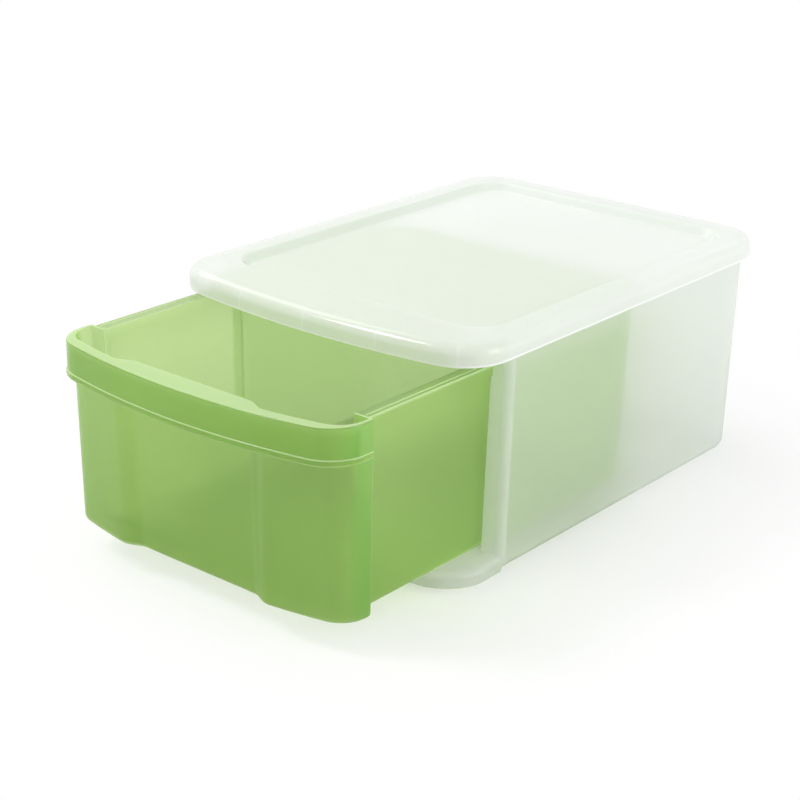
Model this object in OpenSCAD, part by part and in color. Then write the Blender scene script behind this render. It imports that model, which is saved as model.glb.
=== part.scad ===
// Stackable drawer box: an open-fronted case, a lift-off lid and a pull-out drawer with a handle band.
// +Z is up and +Y is the back. The origin is under the middle of the lid, on the face the box stands on.
// The drawer is drawn pulled out, as the box stands in use.

/* [Overall] */
// Height from the underside of the stacking foot to the top of the lid
box_h = 195; // [185:1:215]
// Wall thickness of the case and the lid
wall = 2.2; // [1.8:0.1:2.8]
// How far the drawer is pulled out of its closed place
pulled = 143.5; // [100:0.5:200]

/* [Lid] */
// Width of the lid
lid_w = 300; // [294:1:320]
// Length of the lid, from the middle of its bowed front to its back
lid_len = 419; // [400:1:450]
// Radius of the bow along the front edge
lid_bow = 743; // [600:1:900]
// Radius of the two front corners, seen from above
lid_front_r = 41; // [34:1:46]
// Radius of the two back corners, seen from above
lid_back_r = 39; // [34:1:46]
// Rounding of the top edge
lid_round = 8.8; // [7:0.2:10]
// Depth of the skirt below the lid's top
skirt_h = 16.8; // [14:0.2:19]
// Spacing of the stiffening ribs behind the front of the skirt
lid_rib_pitch = 67; // [50:1:80]
// Thickness of a stiffening rib
lid_rib_t = 1.2; // [0.8:0.1:2]
// How far a stiffening rib stands in from the skirt
lid_rib_w = 4; // [2.5:0.1:5]

/* [Stacking recess and foot] */
// Width of the lid's border beside the recess
border_side = 23; // [20:0.5:26]
// Width of the lid's border behind the recess
border_back = 25.5; // [20:0.5:30]
// Width of the lid's border ahead of the recess, at its middle
border_front = 51.5; // [40:0.5:60]
// Corner radius of the recess at its top edge
recess_r = 27; // [22:1:32]
// Depth of the recess
recess_d = 7; // [5.5:0.1:8]
// How far the sloping wall of the recess runs inwards
recess_run = 6; // [4:0.1:7]
// Height of the foot that drops into the recess of the box below
foot_h = 4; // [3:0.1:5]
// Play between the foot and the wall of the recess
stack_gap = 1.2; // [0.6:0.1:2]

/* [Case] */
// How far the lid stands out past the case at each side
overhang_side = 6.6; // [5.5:0.1:8]
// How far the lid stands out past the back of the case
overhang_back = 4.4; // [4:0.1:6]
// Corner radius of the case, seen from above
case_r = 36; // [32:1:42]
// Rounding of the bottom edge of the case
case_round = 8; // [6:0.2:9]
// Slope of the case's walls from upright, in degrees
case_draft = 0.74; // [0.4:0.02:1.2]
// Distance of the front posts behind the middle of the lid's front edge
post_setback = 63.5; // [55:0.5:70]
// Rounding of the upright edge of each front post
post_r = 8; // [5:0.5:10]
// Height of the outward rim that centres the lid, below the lid's underside
rim_drop = 7; // [6.5:0.1:8]
// Thickness of the outward rim
rim_t = 2; // [1.6:0.1:2.4]

/* [Front lip] */
// Width of the lip at the foot of the case's opening
lip_w = 285; // [276:1:290]
// How far the middle of the lip stands ahead of the lid
lip_ahead = 2; // [0:0.1:4]
// Corner radius of the lip, seen from above
lip_r = 38; // [34:1:42]
// Height of the lip, whose top is the sill that the drawer slides on
lip_h = 13; // [11:0.1:14]
// Rounding of the lip's top edge
lip_top_round = 5; // [4:0.2:6]
// Rounding of the lip's bottom edge
lip_base_round = 3.6; // [2.4:0.2:4.4]
// Thickness of the lip's nose ahead of the hollow, beyond the rounding of its bottom edge
lip_nose = 1.2; // [0.8:0.1:2]
// Number of ribs in the hollow under the lip
lip_ribs = 7; // [5:2:9]
// Thickness of the ribs in the base
base_rib_t = 2; // [1.4:0.1:3]

/* [Runners] */
// Distance of each floor runner from the middle of the case
runner_x = 85; // [60:1:110]
// Thickness of a runner
runner_t = 3; // [2:0.1:5]
// Gap between the ends of the runners and the back wall
runner_end = 12; // [9:0.5:30]

/* [Drawer] */
// Outer width of the drawer's box at its rim
drawer_w = 249.6; // [240:0.2:254]
// Height of the drawer from its underside to its rim
drawer_h = 154.3; // [140:0.1:158]
// Wall thickness of the drawer
drawer_t = 2; // [1.6:0.1:2.6]
// Slope of the drawer's side and back walls from upright, in degrees
drawer_draft = 1.74; // [1:0.02:2.2]
// Radius of the drawer's back corners, seen from above
drawer_r = 24; // [18:1:32]
// Rounding of the drawer's bottom edge
drawer_round = 5; // [4:0.2:7]
// How far the rail stands out from the drawer's box
rail_w = 9.8; // [8:0.1:11]
// Thickness of the rail
rail_t = 1.8; // [1.4:0.1:2.4]
// How far the rail lies below the rim of the drawer's front
rail_drop = 0.2; // [0.1:0.05:0.4]
// Distance of the ridge on the rail from the drawer's box
ridge_x = 5.2; // [4:0.1:6]
// Width of the ridge
ridge_w = 1.4; // [1:0.1:2]
// Height of the ridge
ridge_h = 0.5; // [0.3:0.05:0.8]

/* [Drawer front] */
// Width of the drawer's front
front_w = 276.6; // [270:0.2:280]
// Length of the flat side of the drawer's front, behind its corner at the bottom
front_side = 3.2; // [2.8:0.1:10]
// Radius of the bow across the front
front_bow = 536; // [480:1:640]
// Corner radius of the front, seen from above
front_r = 24.5; // [20:0.5:30]
// Slope of the front panel from upright, in degrees
front_draft = 1.55; // [0.6:0.05:2]
// How much higher the underside of the front is than the drawer's box
front_lift = 6.2; // [5:0.1:8]
// Rounding of the bottom edge of the front
front_round = 4; // [3:0.2:5]
// Height of the threshold between the drawer's box and its front
threshold_h = 0.6; // [0.3:0.1:2]
// How deep the finger recess lies behind the bow
dip_d = 11; // [9:0.1:13]
// Half the width of the flat part of the finger recess
dip_flat = 55; // [45:1:62]
// Width of the curve from the finger recess to the bow at each side
dip_blend = 20; // [14:1:26]

/* [Handle band] */
// Width of the band that hangs from the rim of the drawer's front
band_w = 279; // [277:0.2:282]
// How far the middle of the band stands ahead of the front's bow
band_ahead = 11.5; // [9:0.1:14]
// Radius of the bow of the band
band_bow = 555; // [480:1:700]
// Corner radius of the band, seen from above
band_r = 31; // [26:1:36]
// Height of the band
band_h = 27.6; // [22:0.2:34]
// Rounding of the band's top edge
band_round = 1.6; // [1:0.1:2]
// Thickness of the rim that joins the band to the front
band_t = 2.2; // [2:0.1:3]
// Height of the bead along the band's bottom
bead_h = 5; // [4:0.2:7]
// How far the bead stands out
bead_w = 1; // [0.6:0.1:1.6]

/* [Fits] */
// Gap between the lid and the case's edge that it rests on
lid_gap = 0.3; // [0.2:0.05:0.5]
// Gap between the lid's skirt and the case's rim
skirt_gap = 0.5; // [0.3:0.05:1]
// Gap under the drawer on the sill and the runners
slide_gap = 0.3; // [0.2:0.05:0.5]
// Gap between the drawer and the posts near the rim
mouth_gap_top = 1.3; // [1:0.1:2]
// Gap between the drawer and the posts near the sill
mouth_gap_sill = 2.9; // [1.6:0.1:3.4]
// Gap round the rail where it passes over a post
rail_gap = 1.4; // [0.8:0.1:2]
// Gap ahead of the posts and behind the rail when the drawer is shut
shut_gap = 1; // [0.6:0.1:2]
// Height of the step in each post's inner edge, below the rail
step_h = 11; // [6:0.5:16]
// Width of the step in each post's inner edge
step_w = 1.8; // [1:0.1:2.4]

/* [Hidden] */
front_steps = 9;
corner_steps = 7;
round_steps = 4;
blend_steps = 6;
bulge_steps = 5;
straight = 100000;
past = 1;
band_end = 0.5;
case_colour = [0.90, 0.94, 0.90, 0.6];
drawer_colour = [0.55, 0.76, 0.36, 0.75];

// Heights
base_z = foot_h;
sill_z = base_z + lip_h;
lid_under_z = box_h - wall;
skirt_z = box_h - skirt_h;
recess_z = box_h - recess_d;
drawer_z = sill_z + slide_gap;
rim_z = drawer_z + drawer_h;
rail_top = rim_z - rail_drop;
rail_z = rail_top - rail_t;
front_z = drawer_z + front_lift;
band_z = rim_z - band_h;

// The lid's inner rounding comes down on the back edge of the case, which is the highest that the case can reach
seat_run = max(0, lid_round - overhang_back);
seat_rise = sqrt(max(0, pow(lid_round - wall, 2) - seat_run * seat_run));
case_top = box_h - lid_round + seat_rise - lid_gap;
rim_under_z = lid_under_z - rim_drop - rim_t;

// Places along Y
lid_front = -lid_len / 2;
lid_back = lid_len / 2;
post_y = lid_front + post_setback;
case_back = lid_back - overhang_back;
shut_step_y = post_y - shut_gap;
shut_rail_y = case_back - case_lean(rim_z) - wall - shut_gap;
step_y = shut_step_y - pulled;
rail_back = shut_rail_y - pulled;
drawer_back = rail_back - rail_w;
front_corner_y = front_bow - (front_bow - front_r) * cos(asin((front_w / 2 - front_r) / (front_bow - front_r)));
bow_y = step_y - front_side - front_corner_y;
dip_y = bow_y + dip_d;
band_y = bow_y - band_ahead;

// Plans, each [half width, front y, back y, bow radius, front corner radius, back corner radius]
lid_plan = [lid_w / 2, lid_front, lid_back, lid_bow, lid_front_r, lid_back_r];
recess_plan = [lid_w / 2 - border_side, lid_front + border_front, lid_back - border_back, straight, recess_r, recess_r];
case_plan = [lid_w / 2 - overhang_side, post_y, case_back, straight, post_r, case_r];
rim_inset = wall + skirt_gap;
rim_plan = [lid_w / 2 - rim_inset, post_y, lid_back - rim_inset, straight, post_r, case_r + overhang_side - rim_inset];
lip_plan = [lip_w / 2, lid_front - lip_ahead, post_y + wall, lid_bow, lip_r, wall];
foot_plan = inset(recess_plan, stack_gap);
box_plan = [drawer_w / 2, step_y - drawer_t / 2, drawer_back, straight, drawer_t + 0.5, drawer_r];
rail_plan = [drawer_w / 2 + rail_w, step_y - band_end - drawer_t, rail_back, straight, 1, drawer_r + rail_w];
band_plan = [band_w / 2, band_y, step_y - band_end, band_bow, band_r, 1];

// How far a wall has leaned in, at height z
function case_lean(z) = (case_top - z) * tan(case_draft);
function drawer_lean(z) = (rim_z - z) * tan(drawer_draft);
function front_lean(z) = (z - front_z) * tan(front_draft);

// A plan moved in by d: all round, only at the sides and the back, or only at the sides and the front
function inset(p, d) = [p[0] - d, p[1] + d, p[2] - d, p[3] - d, p[4] - d, p[5] - d];
function inset_back(p, d) = [p[0] - d, p[1], p[2] - d, p[3], p[4], p[5] - d];
function inset_front(p, d) = [p[0] - d, p[1] + d, p[2], p[3] - d, p[4] - d, p[5]];

function arc(c, r, from, to, n) =
    [for (i = [0:n]) let (a = from + (to - from) * i / n) [c.x + r * cos(a), c.y + r * sin(a)]];

// The whole outline from its right half, which runs from the middle of the front to the back
function both_sides(h) = concat(h, [for (i = [len(h) - 1:-1:1]) [-h[i].x, h[i].y]]);

// Outline of a tray with a bowed front and four round corners
function tray(p) =
    let (
        bow_c = p[1] + p[3],
        turn = asin((p[0] - p[4]) / (p[3] - p[4])),
        corner = [p[0] - p[4], bow_c - (p[3] - p[4]) * cos(turn)]
    )
    both_sides(concat(
        arc([0, bow_c], p[3], -90, -90 + turn * (1 - 1 / front_steps), front_steps - 1),
        arc(corner, p[4], -90 + turn, 0, corner_steps),
        arc([p[0] - p[5], p[2] - p[5]], p[5], 0, 90, corner_steps)
    ));

// Outline of the drawer's front moved in by d, with its back at y: a bow with a flat finger recess in its middle,
// and round corners. It leans forward with height.
function front_outline(d, back, z) =
    let (
        lean = front_lean(z),
        hw = front_w / 2 - d,
        bow = front_bow - d,
        r = front_r - d,
        bow_c = bow_y - lean + front_bow,
        dip = dip_y - lean + d,
        turn = asin((hw - r) / (bow - r)),
        edge = dip_flat + dip_blend,
        edge_turn = asin(edge / bow)
    )
    both_sides(concat(
        [[0, dip], [dip_flat / 2, dip]],
        [for (i = [0:blend_steps])
            let (
                t = i / blend_steps,
                x = dip_flat + dip_blend * t,
                y = bow_c - sqrt(bow * bow - x * x)
            )
            [x, dip + (y - dip) * (1 - cos(180 * t)) / 2]],
        [for (i = [1:bulge_steps - 1])
            let (a = -90 + edge_turn + (turn - edge_turn) * i / bulge_steps)
            [bow * cos(a), bow_c + bow * sin(a)]],
        arc([hw - r, bow_c - (bow - r) * cos(turn)], r, -90 + turn, 0, corner_steps),
        [[hw, back]]
    ));

function raised(outline, z) = [for (q = outline) [q.x, q.y, z]];
function ring(p, z) = raised(tray(p), z);
function middle(r) = [0, (r[0].y + r[floor(len(r) / 2)].y) / 2, r[0].z];

// Steps of a quarter round of radius r, each [distance in, height], from flat to upright
function quarter(r) = [for (i = [0:round_steps]) let (a = 90 * i / round_steps) [r * (1 - sin(a)), r * (1 - cos(a))]];

// A closed solid through a list of rings with equal point counts. The first ring faces down and the last faces up.
module loft(rings) {
    n = len(rings[0]);
    m = len(rings);
    points = concat([for (r = rings) each r], [middle(rings[0]), middle(rings[m - 1])]);
    walls = [for (k = [0:m - 2], i = [0:n - 1])
        let (a = k * n + i, b = k * n + (i + 1) % n)
        each [[a, b + n, b], [a, a + n, b + n]]];
    ends = [for (i = [0:n - 1])
        let (j = (i + 1) % n, top = (m - 1) * n)
        each [[m * n, i, j], [m * n + 1, top + j, top + i]]];
    polyhedron(points, concat(walls, ends));
}

module case() {
    color(case_colour) {
        difference() {
            union() {
                case_shell();
                case_rim();
                front_lip();
                stacking_foot();
            }
            case_inside();
            foot_inside();
            drawer_mouth();
            lip_hollow();
        }
        lip_rib_row();
        floor_runners();
    }
}

// Outside of the case, with its leaning walls and its round bottom edge
module case_shell() {
    base = inset_back(case_plan, case_lean(base_z));
    bottom = [for (q = quarter(case_round)) ring(inset_back(base, q[0]), base_z + q[1])];
    loft(concat(bottom, [ring(case_plan, case_top)]));
}

// Inside of the case, open at the top
module case_inside() {
    floor_z = base_z + wall;
    r = case_round - wall;
    base = inset(inset_back(case_plan, case_lean(floor_z)), wall);
    bottom = [for (q = quarter(r)) ring(inset_back(base, q[0]), floor_z + q[1])];
    loft(concat(bottom, [ring(inset(case_plan, wall), case_top + past)]));
}

// Outward rim under the lid, which keeps the lid centred
module case_rim() {
    loft([ring(rim_plan, rim_under_z), ring(rim_plan, rim_under_z + rim_t)]);
}

// Slab ahead of the opening with a round nose, whose top is the sill
module front_lip() {
    nose = [for (q = quarter(lip_base_round)) ring(inset_front(lip_plan, q[0]), base_z + q[1])];
    brow = [for (i = [round_steps:-1:0])
        let (q = quarter(lip_top_round)[i])
        ring(inset_front(lip_plan, q[0]), sill_z - q[1])];
    loft(concat(nose, brow));
}

// Hollow under the lip, ahead of the foot
module lip_hollow() {
    hollow = inset_front([lip_plan[0], lip_plan[1], foot_plan[1], lid_bow, lip_r, wall], lip_base_round + lip_nose);
    loft([ring(hollow, base_z - past), ring(hollow, sill_z - wall)]);
}

// Ribs from front to back across the hollow under the lip
module lip_rib_row() {
    pitch = (lip_w - 2 * lip_r) / (lip_ribs - 1);
    intersection() {
        front_lip();
        for (i = [0:lip_ribs - 1])
            translate([(i - (lip_ribs - 1) / 2) * pitch - base_rib_t / 2, lip_plan[1], base_z])
                cube([base_rib_t, foot_plan[1] + wall - lip_plan[1], lip_h - wall / 2]);
    }
}

// Foot under the floor, with the slope of the recess that it drops into
module stacking_foot() {
    slope = recess_run / recess_d;
    loft([ring(inset(foot_plan, slope * foot_h), 0), ring(foot_plan, base_z + wall / 2)]);
}

// The foot is a pan: its inside lies below the rest of the floor and runs on under the sill
module foot_inside() {
    slope = recess_run / recess_d;
    pan = inset(foot_plan, slope * foot_h + wall);
    loft([ring(pan, wall), ring(pan, sill_z - wall)]);
}

// Opening between the posts: it follows the drawer's sides, steps out under the rail and clears the rail
module drawer_mouth() {
    sill_x = drawer_w / 2 - drawer_lean(sill_z) + mouth_gap_sill;
    step_z = rail_z - rail_gap - step_h;
    step_x = drawer_w / 2 - drawer_lean(step_z) + mouth_gap_top;
    rail_x = rail_plan[0] + rail_gap;
    half = [
        [sill_x, sill_z], [step_x, step_z], [step_x + step_w, step_z],
        [step_x + step_w, rail_z - rail_gap], [rail_x, rail_z - rail_gap], [rail_x, case_top + past]
    ];
    translate([0, post_y + wall + past, 0])
        rotate([90, 0, 0])
            linear_extrude(wall + 2 * past)
                polygon(concat(half, [for (i = [len(half) - 1:-1:0]) [-half[i].x, half[i].y]]));
}

// Two ribs along the floor that carry the drawer at the height of the sill
module floor_runners() {
    back = case_back - case_lean(sill_z) - wall - runner_end;
    for (side = [-1, 1])
        translate([side * runner_x - runner_t / 2, post_y + wall / 2, wall / 2])
            cube([runner_t, back - post_y - wall / 2, sill_z - wall / 2]);
}

module lid() {
    color(case_colour) {
        lid_shell();
        lid_rib_row();
    }
}

// One skin: underside of the recess, down inside the skirt, up its outside, over the border and into the recess
module lid_shell() {
    inner_r = lid_round - wall;
    slope_under = [
        ring(inset(recess_plan, recess_run + wall / 2), recess_z - wall),
        ring(inset(recess_plan, recess_run - wall / 2), recess_z - wall + wall / 4),
        ring(inset(recess_plan, -wall), lid_under_z - wall / 4),
        ring(inset(recess_plan, -wall * 1.5), lid_under_z)
    ];
    inside = [for (i = [0:round_steps])
        let (q = quarter(inner_r)[i])
        ring(inset(lid_plan, wall + q[0]), lid_under_z - q[1])];
    lip = [ring(inset(lid_plan, wall), skirt_z), ring(lid_plan, skirt_z)];
    outside = [for (i = [round_steps:-1:0])
        let (q = quarter(lid_round)[i])
        ring(inset(lid_plan, q[0]), box_h - q[1])];
    slope_over = [
        ring(inset(recess_plan, -wall / 2), box_h),
        ring(inset(recess_plan, wall / 2), box_h - wall / 4),
        ring(inset(recess_plan, recess_run - wall / 2), recess_z + wall / 4),
        ring(inset(recess_plan, recess_run + wall / 2), recess_z)
    ];
    loft(concat(slope_under, inside, lip, outside, slope_over));
}

// Short upright ribs that stiffen the front of the skirt. They are spaced along the bow and on round its corners, as
// far as half of each corner, and stand square to the skirt.
module lid_rib_row() {
    corner_x = lid_w / 2 - lid_front_r;
    corner_turn = asin(corner_x / (lid_bow - lid_front_r));
    corner_y = lid_front + lid_bow - (lid_bow - lid_front_r) * cos(corner_turn);
    bow_run = lid_bow * corner_turn * PI / 180;
    corner_run = lid_front_r * (45 - corner_turn) * PI / 180;
    count = 2 * floor((bow_run + corner_run) / lid_rib_pitch) + 1;
    mid_r = lid_round - wall / 2;
    bend = [for (a = [180:-30:90]) [lid_round + mid_r * cos(a), box_h - lid_round + mid_r * sin(a)]];
    side = concat(
        [[wall + lid_rib_w, skirt_z + wall], [wall / 2, skirt_z + wall]],
        bend,
        [[lid_round + lid_rib_w, lid_under_z + wall / 2], [lid_round, lid_under_z - wall]]
    );
    for (i = [0:count - 1]) {
        along = (i - (count - 1) / 2) * lid_rib_pitch;
        on_bow = abs(along) <= bow_run;
        r = on_bow ? lid_bow : lid_front_r;
        past = (on_bow ? abs(along) : abs(along) - bow_run) / r * 180 / PI;
        translate(on_bow ? [0, lid_front + lid_bow, 0] : [sign(along) * corner_x, corner_y, 0])
            rotate([0, 0, sign(along) * (on_bow ? past : corner_turn + past)])
                translate([lid_rib_t / 2, -r, 0])
                    rotate([90, 0, -90])
                        linear_extrude(lid_rib_t)
                            polygon([for (q = side) [-q.x, q.y]]);
    }
}

module drawer() {
    color(drawer_colour)
        difference() {
            union() {
                box_outside();
                rails();
                front_outside();
                handle_band();
            }
            box_inside();
            front_inside();
            doorway();
        }
}

// Box of the drawer behind its front, with leaning walls and a round bottom edge
module box_outside() {
    base = inset_back(box_plan, drawer_lean(drawer_z));
    bottom = [for (q = quarter(drawer_round)) ring(inset_back(base, q[0]), drawer_z + q[1])];
    loft(concat(bottom, [ring(box_plan, rail_z + rail_t / 2)]));
}

module box_inside() {
    floor_z = drawer_z + drawer_t;
    base = inset(inset_back(box_plan, drawer_lean(floor_z)), drawer_t);
    bottom = [for (q = quarter(drawer_round - drawer_t)) ring(inset_back(base, q[0]), floor_z + q[1])];
    loft(concat(bottom, [ring(inset(box_plan, drawer_t), rim_z + past)]));
}

// Flat rail round the sides and the back of the rim, with a low ridge along it
module rails() {
    ridge = inset_back(rail_plan, rail_w - ridge_x - ridge_w);
    inner = inset_back(ridge, ridge_w);
    translate([0, 0, rail_z])
        linear_extrude(rail_t)
            polygon(tray(rail_plan));
    translate([0, 0, rail_z + rail_t / 2])
        linear_extrude(rail_t / 2 + ridge_h)
            difference() {
                polygon(tray([ridge[0], step_y, ridge[2], straight, 1, ridge[5]]));
                polygon(tray([inner[0], step_y - past, inner[2], straight, 1, inner[5]]));
            }
}

// Front of the drawer, wider than its box and standing a little higher
module front_outside() {
    top = rim_z - band_t / 2;
    bottom = [for (q = quarter(front_round))
        raised(front_outline(q[0], step_y, front_z + q[1]), front_z + q[1])];
    loft(concat(bottom, [raised(front_outline(0, step_y, top), top)]));
}

module front_inside() {
    floor_z = front_z + drawer_t;
    back = step_y - drawer_t;
    top = rim_z + past;
    bottom = [for (q = quarter(front_round - drawer_t))
        raised(front_outline(drawer_t + q[0], back, floor_z + q[1]), floor_z + q[1])];
    loft(concat(bottom, [raised(front_outline(drawer_t, back, top), top)]));
}

// Way through from the box into the front, as wide as the inside of the box, over a low threshold
module doorway() {
    low_z = front_z + drawer_t + threshold_h;
    low_x = drawer_w / 2 - drawer_lean(low_z) - drawer_t;
    high_x = drawer_w / 2 - drawer_t;
    translate([0, step_y + drawer_t + past, 0])
        rotate([90, 0, 0])
            linear_extrude(2 * (drawer_t + past))
                polygon([[-low_x, low_z], [low_x, low_z], [high_x, rim_z + past], [-high_x, rim_z + past]]);
}

// Band that hangs from the rim and takes the fingers behind it
module handle_band() {
    bead = [for (a = [0:45:180])
        ring(inset_front(band_plan, -bead_w * sin(a)), band_z + bead_h * (1 - cos(a)) / 2)];
    brow = [for (i = [round_steps:-2:0])
        let (q = quarter(band_round)[i])
        ring(inset_front(band_plan, q[0]), rim_z - q[1])];
    behind = inset_front([band_plan[0], band_y, step_y + past, band_bow, band_r, 1], drawer_t);
    difference() {
        loft(concat(bead, brow));
        loft([ring(behind, band_z - past), ring(behind, rim_z - band_t)]);
    }
}

case();
lid();
drawer();
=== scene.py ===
import bpy
import bmesh
import math
from collections import namedtuple
from contextlib import contextmanager
from mathutils import Matrix, Vector


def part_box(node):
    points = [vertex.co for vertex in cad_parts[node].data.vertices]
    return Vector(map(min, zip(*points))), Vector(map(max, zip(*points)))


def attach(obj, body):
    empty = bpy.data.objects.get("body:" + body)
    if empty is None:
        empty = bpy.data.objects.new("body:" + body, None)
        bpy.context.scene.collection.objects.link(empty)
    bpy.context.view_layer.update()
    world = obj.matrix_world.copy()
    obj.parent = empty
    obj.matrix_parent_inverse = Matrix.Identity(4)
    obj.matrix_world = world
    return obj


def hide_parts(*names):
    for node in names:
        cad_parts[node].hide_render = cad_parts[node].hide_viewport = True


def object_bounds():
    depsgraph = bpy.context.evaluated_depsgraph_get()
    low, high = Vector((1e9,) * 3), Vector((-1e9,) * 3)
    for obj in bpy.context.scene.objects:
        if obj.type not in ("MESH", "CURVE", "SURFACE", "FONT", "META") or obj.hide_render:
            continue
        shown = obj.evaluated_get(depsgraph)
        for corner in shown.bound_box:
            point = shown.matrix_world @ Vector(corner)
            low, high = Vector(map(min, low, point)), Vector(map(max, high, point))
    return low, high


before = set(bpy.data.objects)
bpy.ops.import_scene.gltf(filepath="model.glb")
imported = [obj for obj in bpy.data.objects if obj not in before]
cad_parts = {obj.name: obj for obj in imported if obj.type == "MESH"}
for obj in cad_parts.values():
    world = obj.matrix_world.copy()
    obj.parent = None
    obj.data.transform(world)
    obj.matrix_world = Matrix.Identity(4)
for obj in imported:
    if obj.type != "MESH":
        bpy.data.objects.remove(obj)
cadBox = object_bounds()

# The pieces' lengths are millimetres, which makeMesh turns into metres, and their angles are degrees
milli = 0.001
straight = 100000  # bow radius of a front that is straight
sharp = 1  # radius of a corner that looks sharp
past = 1  # how far a cutting tool reaches past what it cuts

# How many steps each kind of curve is cut into
steps = {
    "front": 30, "side": 6, "corner": 18, "round": 8, "slope": 6, "lidEdge": 12, "hem": 4, "lidRib": 3,
    "blend": 18, "bulge": 14, "panel": 3, "bandEdge": 5, "bead": 12,
}


def sinD(angle):
    return math.sin(math.radians(angle))


def cosD(angle):
    return math.cos(math.radians(angle))


def tanD(angle):
    return math.tan(math.radians(angle))


def asinD(share):
    return math.degrees(math.asin(share))


# An outline seen from above: half its width, its front and back along y, the radius of its bowed front, and
# the radii of its front and back corners
Plan = namedtuple("Plan", "half front back bow frontRound backRound")


def insetBack(plan, by):
    return plan._replace(half=plan.half - by, back=plan.back - by, backRound=plan.backRound - by)


def insetFront(plan, by):
    return plan._replace(
        half=plan.half - by, front=plan.front + by, bow=plan.bow - by, frontRound=plan.frontRound - by,
    )


def inset(plan, by):
    return insetFront(plan, by)._replace(back=plan.back - by, backRound=plan.backRound - by)


# How far the bow has turned where a front corner starts
def bowTurn(plan):
    return asinD((plan.half - plan.frontRound) / (plan.bow - plan.frontRound))


# How far the centre of a front corner lies behind the front
def cornerDepth(plan):
    return plan.bow - (plan.bow - plan.frontRound) * cosD(bowTurn(plan))


def arc(x, y, radius, start, end, count):
    turns = [start + (end - start) * i / count for i in range(count + 1)]
    return [(x + radius * cosD(turn), y + radius * sinD(turn)) for turn in turns]


def frontCorner(plan):
    x, y = plan.half - plan.frontRound, plan.front + cornerDepth(plan)
    return arc(x, y, plan.frontRound, -90 + bowTurn(plan), 0, steps["corner"])


def bothSides(half):
    return half + [(-x, y) for x, y in reversed(half[1:])]


def ring(plan, z):
    front = arc(0, plan.front + plan.bow, plan.bow, -90, -90 + bowTurn(plan), steps["front"])[:-1]
    front[0] = (0.0, front[0][1])  # exactly on the middle
    near = frontCorner(plan)
    far = arc(plan.half - plan.backRound, plan.back - plan.backRound, plan.backRound, 0, 90, steps["corner"])
    nearY, farY = near[-1][1], far[0][1]
    side = [(plan.half, nearY + (farY - nearY) * i / steps["side"]) for i in range(1, steps["side"])]
    return [(x, y, z) for x, y in bothSides(front + near + side + far)]


# A quarter round as pairs of an inset and a rise, from the flat face beside it to the upright one
def quarter(radius, count=steps["round"]):
    turns = [90 * i / count for i in range(count + 1)]
    return [(radius * (1 - sinD(turn)), radius * (1 - cosD(turn))) for turn in turns]


# Points from start to end, on a curve that middle draws towards itself
def softBend(start, middle, end):
    spots = []
    for i in range(steps["slope"] + 1):
        t = i / steps["slope"]
        a, b, c = (1 - t) ** 2, 2 * t * (1 - t), t * t
        spots.append([a * p + b * q + c * r for p, q, r in zip(start, middle, end)])
    return spots


# Rings down a slope that starts at the plan and runs inwards, bent softly at its top and at its foot
def slope(plan, upperZ, lowerZ, run, soft):
    rise = upperZ - lowerZ
    length = math.hypot(run, rise)
    across, down = soft * run / length, soft * rise / length
    top = softBend((-soft, upperZ), (0, upperZ), (across, upperZ - down))
    foot = softBend((run - across, lowerZ + down), (run, lowerZ), (run + soft, lowerZ))
    return [ring(inset(plan, by), z) for by, z in top + foot]


def addObject(name, data):
    made = bpy.data.objects.new(name, data)
    bpy.context.scene.collection.objects.link(made)
    return made


def makeMesh(name, points, faces):
    data = bpy.data.meshes.new(name)
    data.from_pydata([[c * milli for c in point] for point in points], [], faces)
    data.update()
    return addObject(name, data)


@contextmanager
def editing(piece):
    work = bmesh.new()
    work.from_mesh(piece.data)
    yield work
    work.to_mesh(piece.data)
    work.free()


# Closed solid through rings with equal point counts: the first ring faces down, the last one up
def loft(name, rings):
    n = len(rings[0])
    last = (len(rings) - 1) * n
    faces = [list(range(n - 1, -1, -1))]
    for base in range(0, last, n):
        for i in range(n):
            a, b = base + i, base + (i + 1) % n
            faces.append([a, b, b + n, a + n])
    faces.append(list(range(last, last + n)))
    return makeMesh(name, [point for each in rings for point in each], faces)


# Closed solid that keeps one upright outline all along y, or all along x
def prism(name, outline, start, end, alongX=False):
    n = len(outline)
    points = [(depth, across, z) for depth in (start, end) for across, z in outline]
    if not alongX:
        points = [(across, depth, z) for depth, across, z in points]
    faces = [list(range(n)), list(range(2 * n - 1, n - 1, -1))]
    faces += [[i, n + i, n + (i + 1) % n, (i + 1) % n] for i in range(n)]
    made = makeMesh(name, points, faces)
    with editing(made) as work:
        bmesh.ops.recalc_face_normals(work, faces=work.faces)
    return made


def block(name, low, high):
    outline = [(low[0], low[2]), (high[0], low[2]), (high[0], high[2]), (low[0], high[2])]
    return prism(name, outline, low[1], high[1])


# A box with leaning walls and a round lower edge or, given a thickness, the solid that hollows it out
def bowl(name, plan, lean, floorZ, topZ, edge, thick=0):
    floorZ += thick
    base = inset(insetBack(plan, lean(floorZ)), thick)
    lower = [ring(insetBack(base, by), floorZ + rise) for by, rise in quarter(edge - thick)]
    return loft(name, lower + [ring(inset(plan, thick), topZ)])


# The mesh that a piece's modifiers give
def bake(piece):
    return bpy.data.meshes.new_from_object(piece.evaluated_get(bpy.context.evaluated_depsgraph_get()))


# A plain object with that mesh, in place of the piece and its tools
def settle(name, piece, tools=()):
    done = addObject(name, bake(piece))
    for spent in (piece, *tools):
        bpy.data.objects.remove(spent)
    return done


def paint(piece, material):
    piece.data.materials.clear()
    piece.data.materials.append(material)
    piece.data.polygons.foreach_set("material_index", [0] * len(piece.data.polygons))


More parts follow.
